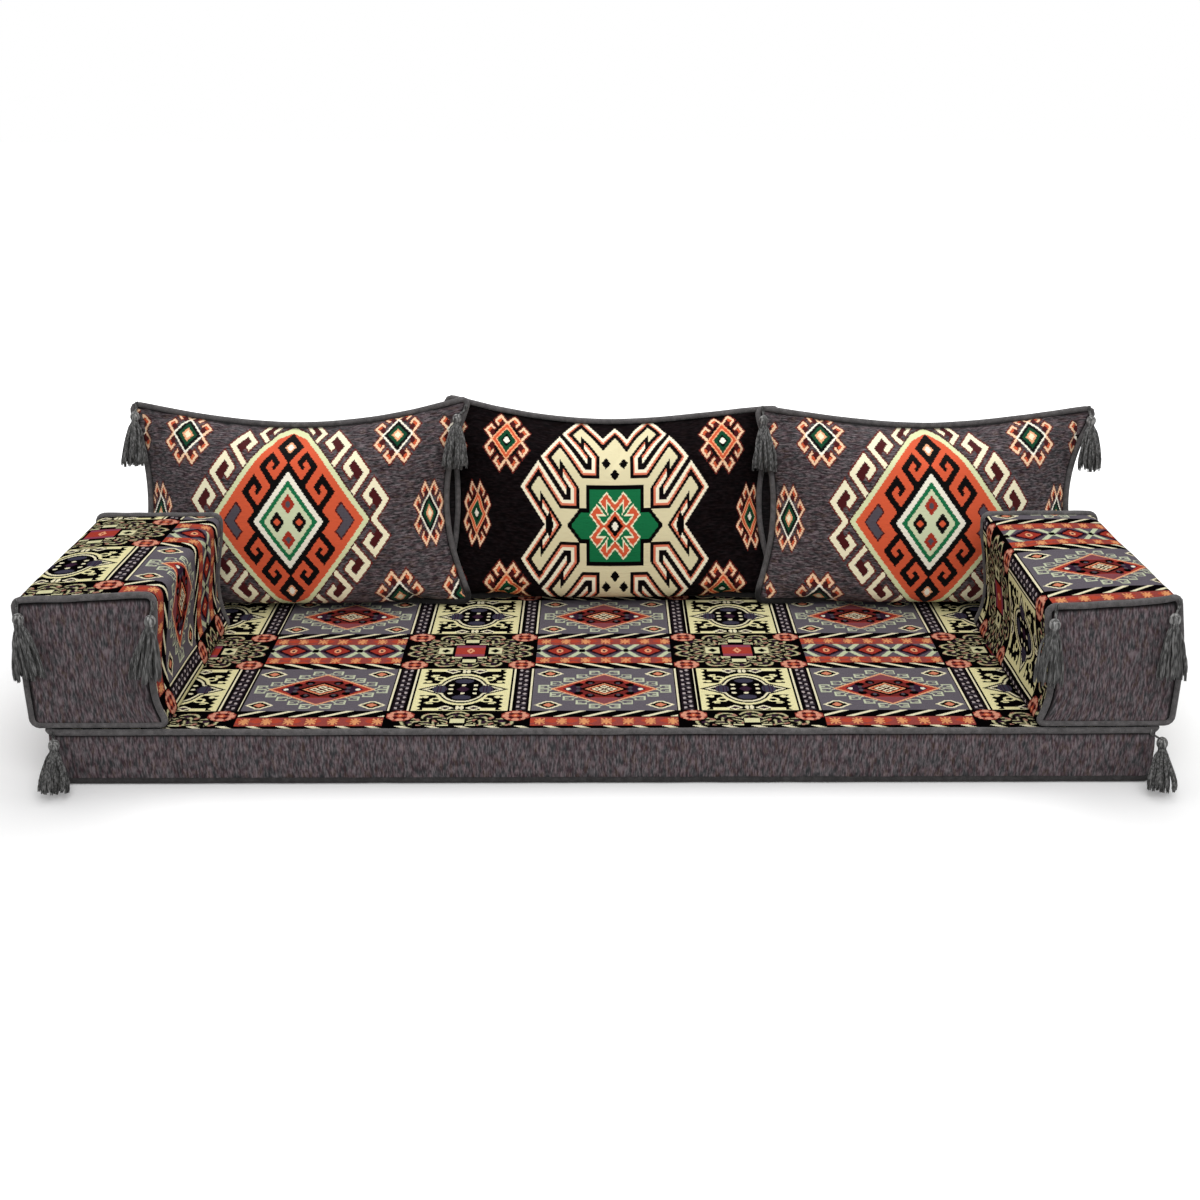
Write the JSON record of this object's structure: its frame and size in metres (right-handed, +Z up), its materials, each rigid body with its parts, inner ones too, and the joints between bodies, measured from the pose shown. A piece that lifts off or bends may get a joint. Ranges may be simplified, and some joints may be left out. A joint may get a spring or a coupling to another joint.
{
  "type": "majlis floor sofa",
  "caption": "Floor sofa: long flat kilim-patterned mattress with loose arm bolsters and plump leaning back cushions, grey piped edges, zips and corner tassels.",
  "frame": {"origin": "middle of the mattress's underside, on the floor", "axes": "+X to the right seen from the front, along the length; +Y to the back; +Z up"},
  "size_m": [2.0006, 0.8385, 0.5002],
  "materials": {
    "kilim_weave": "flat-woven kilim pattern",
    "grey_weave": "coarse grey chenille weave",
    "black_weave": "black woven ground with a kilim medallion",
    "piping_grey": "matt grey felted cord and yarn",
    "foam": "cream polyurethane foam and fibre",
    "zip_black": "black nylon coil zip on woven tape",
    "zip_metal": "nickel-plated"
  },
  "bodies": {
    "mattress": {"mattress_foam": "foam", "mattress_bottom_panel": "grey_weave", "mattress_boxing": "grey_weave", "mattress_top_panel": "kilim_weave", "mattress_bottom_piping": "piping_grey", "mattress_top_piping": "piping_grey", "mattress_zip": "zip_black"},
    "mattress_zip_slider": {"mattress_zip_slider": "zip_metal"},
    "mattress_zip_pull": {"mattress_zip_pull": "zip_metal"},
    "mattress_left_tassel": {"mattress_left_tassel": "piping_grey"},
    "mattress_right_tassel": {"mattress_right_tassel": "piping_grey"},
    "left_arm": {"left_arm_foam": "foam", "left_arm_wrap": "kilim_weave", "left_arm_front_panel": "grey_weave", "left_arm_rear_panel": "grey_weave", "left_arm_front_piping": "piping_grey", "left_arm_rear_piping": "piping_grey", "left_arm_zip": "zip_black"},
    "left_arm_zip_slider": {"left_arm_zip_slider": "zip_metal"},
    "left_arm_zip_pull": {"left_arm_zip_pull": "zip_metal"},
    "left_arm_outer_tassel": {"left_arm_outer_tassel": "piping_grey"},
    "left_arm_inner_tassel": {"left_arm_inner_tassel": "piping_grey"},
    "right_arm": {"right_arm_foam": "foam", "right_arm_wrap": "kilim_weave", "right_arm_front_panel": "grey_weave", "right_arm_rear_panel": "grey_weave", "right_arm_front_piping": "piping_grey", "right_arm_rear_piping": "piping_grey", "right_arm_zip": "zip_black"},
    "right_arm_zip_slider": {"right_arm_zip_slider": "zip_metal"},
    "right_arm_zip_pull": {"right_arm_zip_pull": "zip_metal"},
    "right_arm_outer_tassel": {"right_arm_outer_tassel": "piping_grey"},
    "right_arm_inner_tassel": {"right_arm_inner_tassel": "piping_grey"},
    "left_back": {"left_back_filling": "foam", "left_back_front_cover": "grey_weave", "left_back_rear_cover": "grey_weave", "left_back_piping": "piping_grey", "left_back_zip": "zip_black"},
    "left_back_zip_slider": {"left_back_zip_slider": "zip_metal"},
    "left_back_zip_pull": {"left_back_zip_pull": "zip_metal"},
    "left_back_left_tassel": {"left_back_left_tassel": "piping_grey"},
    "left_back_right_tassel": {"left_back_right_tassel": "piping_grey"},
    "middle_back": {"middle_back_filling": "foam", "middle_back_front_cover": "black_weave", "middle_back_rear_cover": "grey_weave", "middle_back_piping": "piping_grey", "middle_back_zip": "zip_black"},
    "middle_back_zip_slider": {"middle_back_zip_slider": "zip_metal"},
    "middle_back_zip_pull": {"middle_back_zip_pull": "zip_metal"},
    "middle_back_left_tassel": {"middle_back_left_tassel": "piping_grey"},
    "middle_back_right_tassel": {"middle_back_right_tassel": "piping_grey"},
    "right_back": {"right_back_filling": "foam", "right_back_front_cover": "grey_weave", "right_back_rear_cover": "grey_weave", "right_back_piping": "piping_grey", "right_back_zip": "zip_black"},
    "right_back_zip_slider": {"right_back_zip_slider": "zip_metal"},
    "right_back_zip_pull": {"right_back_zip_pull": "zip_metal"},
    "right_back_left_tassel": {"right_back_left_tassel": "piping_grey"},
    "right_back_right_tassel": {"right_back_right_tassel": "piping_grey"}
  },
  "joints": [
    {"name": "mattress_zip_slide", "type": "slide", "parent": "mattress", "child": "mattress_zip_slider", "axis": [-1, 0, 0], "range_m": [0, 1.386]},
    {"name": "mattress_zip_pull_hinge", "type": "hinge", "parent": "mattress_zip_slider", "child": "mattress_zip_pull", "pos_m": [0.693, 0.3545, 0.05], "axis": [0, 0, -1], "range_deg": [0, 170]},
    {"name": "mattress_left_tassel_swing", "type": "hinge", "parent": "mattress", "child": "mattress_left_tassel", "pos_m": [-0.936, -0.348, 0.098], "axis": [-1, 0, 0], "range_deg": [0, 25]},
    {"name": "mattress_right_tassel_swing", "type": "hinge", "parent": "mattress", "child": "mattress_right_tassel", "pos_m": [0.936, -0.348, 0.098], "axis": [-1, 0, 0], "range_deg": [0, 25]},
    {"name": "left_arm_lift", "type": "slide", "parent": "mattress", "child": "left_arm", "axis": [0, 0, 1], "range_m": [0, 0.3]},
    {"name": "left_arm_zip_slide", "type": "slide", "parent": "left_arm", "child": "left_arm_zip_slider", "axis": [0, -1, 0], "range_m": [0, 0.336]},
    {"name": "left_arm_zip_pull_hinge", "type": "hinge", "parent": "left_arm_zip_slider", "child": "left_arm_zip_pull", "pos_m": [-0.9745, 0.043, 0.1528], "axis": [0, 0, -1], "range_deg": [0, 170]},
    {"name": "left_arm_outer_tassel_swing", "type": "hinge", "parent": "left_arm", "child": "left_arm_outer_tassel", "pos_m": [-0.9585, -0.344, 0.3368], "axis": [-1, 0, 0], "range_deg": [0, 70]},
    {"name": "left_arm_inner_tassel_swing", "type": "hinge", "parent": "left_arm", "child": "left_arm_inner_tassel", "pos_m": [-0.7455, -0.344, 0.3368], "axis": [-1, 0, 0], "range_deg": [0, 70]},
    {"name": "right_arm_lift", "type": "slide", "parent": "mattress", "child": "right_arm", "axis": [0, 0, 1], "range_m": [0, 0.3]},
    {"name": "right_arm_zip_slide", "type": "slide", "parent": "right_arm", "child": "right_arm_zip_slider", "axis": [0, -1, 0], "range_m": [0, 0.336]},
    {"name": "right_arm_zip_pull_hinge", "type": "hinge", "parent": "right_arm_zip_slider", "child": "right_arm_zip_pull", "pos_m": [0.9745, 0.043, 0.1528], "axis": [0, 0, 1], "range_deg": [0, 170]},
    {"name": "right_arm_outer_tassel_swing", "type": "hinge", "parent": "right_arm", "child": "right_arm_outer_tassel", "pos_m": [0.9585, -0.344, 0.3368], "axis": [-1, 0, 0], "range_deg": [0, 70]},
    {"name": "right_arm_inner_tassel_swing", "type": "hinge", "parent": "right_arm", "child": "right_arm_inner_tassel", "pos_m": [0.7455, -0.344, 0.3368], "axis": [-1, 0, 0], "range_deg": [0, 70]},
    {"name": "left_back_lift", "type": "slide", "parent": "mattress", "child": "left_back", "axis": [0, 0.3256, 0.9455], "range_m": [0, 0.45]},
    {"name": "left_back_zip_slide", "type": "slide", "parent": "left_back", "child": "left_back_zip_slider", "axis": [-1, 0, 0], "range_m": [0, 0.306]},
    {"name": "left_back_zip_pull_hinge", "type": "hinge", "parent": "left_back_zip_slider", "child": "left_back_zip_pull", "pos_m": [-0.463, 0.28514, 0.13995], "axis": [0, -0.7911, -0.6117], "range_deg": [0, 170]},
    {"name": "left_back_left_tassel_swing", "type": "hinge", "parent": "left_back", "child": "left_back_left_tassel", "pos_m": [-0.95013, 0.3443, 0.48972], "axis": [-1, 0, 0], "range_deg": [0, 90]},
    {"name": "left_back_right_tassel_swing", "type": "hinge", "parent": "left_back", "child": "left_back_right_tassel", "pos_m": [-0.28187, 0.3443, 0.48972], "axis": [-1, 0, 0], "range_deg": [0, 90]},
    {"name": "middle_back_lift", "type": "slide", "parent": "mattress", "child": "middle_back", "axis": [0, 0.3256, 0.9455], "range_m": [0, 0.45]},
    {"name": "middle_back_zip_slide", "type": "slide", "parent": "middle_back", "child": "middle_back_zip_slider", "axis": [-1, 0, 0], "range_m": [0, 0.306]},
    {"name": "middle_back_zip_pull_hinge", "type": "hinge", "parent": "middle_back_zip_slider", "child": "middle_back_zip_pull", "pos_m": [0.177, 0.31613, 0.13995], "axis": [0, -0.7911, -0.6117], "range_deg": [0, 170]},
    {"name": "middle_back_left_tassel_swing", "type": "hinge", "parent": "middle_back", "child": "middle_back_left_tassel", "pos_m": [-0.31013, 0.3753, 0.48972], "axis": [1, 0, 0], "range_deg": [0, 90]},
    {"name": "middle_back_right_tassel_swing", "type": "hinge", "parent": "middle_back", "child": "middle_back_right_tassel", "pos_m": [0.35813, 0.3753, 0.48972], "axis": [1, 0, 0], "range_deg": [0, 90]},
    {"name": "right_back_lift", "type": "slide", "parent": "mattress", "child": "right_back", "axis": [0, 0.3256, 0.9455], "range_m": [0, 0.45]},
    {"name": "right_back_zip_slide", "type": "slide", "parent": "right_back", "child": "right_back_zip_slider", "axis": [-1, 0, 0], "range_m": [0, 0.306]},
    {"name": "right_back_zip_pull_hinge", "type": "hinge", "parent": "right_back_zip_slider", "child": "right_back_zip_pull", "pos_m": [0.817, 0.28514, 0.13995], "axis": [0, -0.7911, -0.6117], "range_deg": [0, 170]},
    {"name": "right_back_left_tassel_swing", "type": "hinge", "parent": "right_back", "child": "right_back_left_tassel", "pos_m": [0.32987, 0.3443, 0.48972], "axis": [-1, 0, 0], "range_deg": [0, 90]},
    {"name": "right_back_right_tassel_swing", "type": "hinge", "parent": "right_back", "child": "right_back_right_tassel", "pos_m": [0.99813, 0.3443, 0.48972], "axis": [-1, 0, 0], "range_deg": [0, 90]}
  ]
}
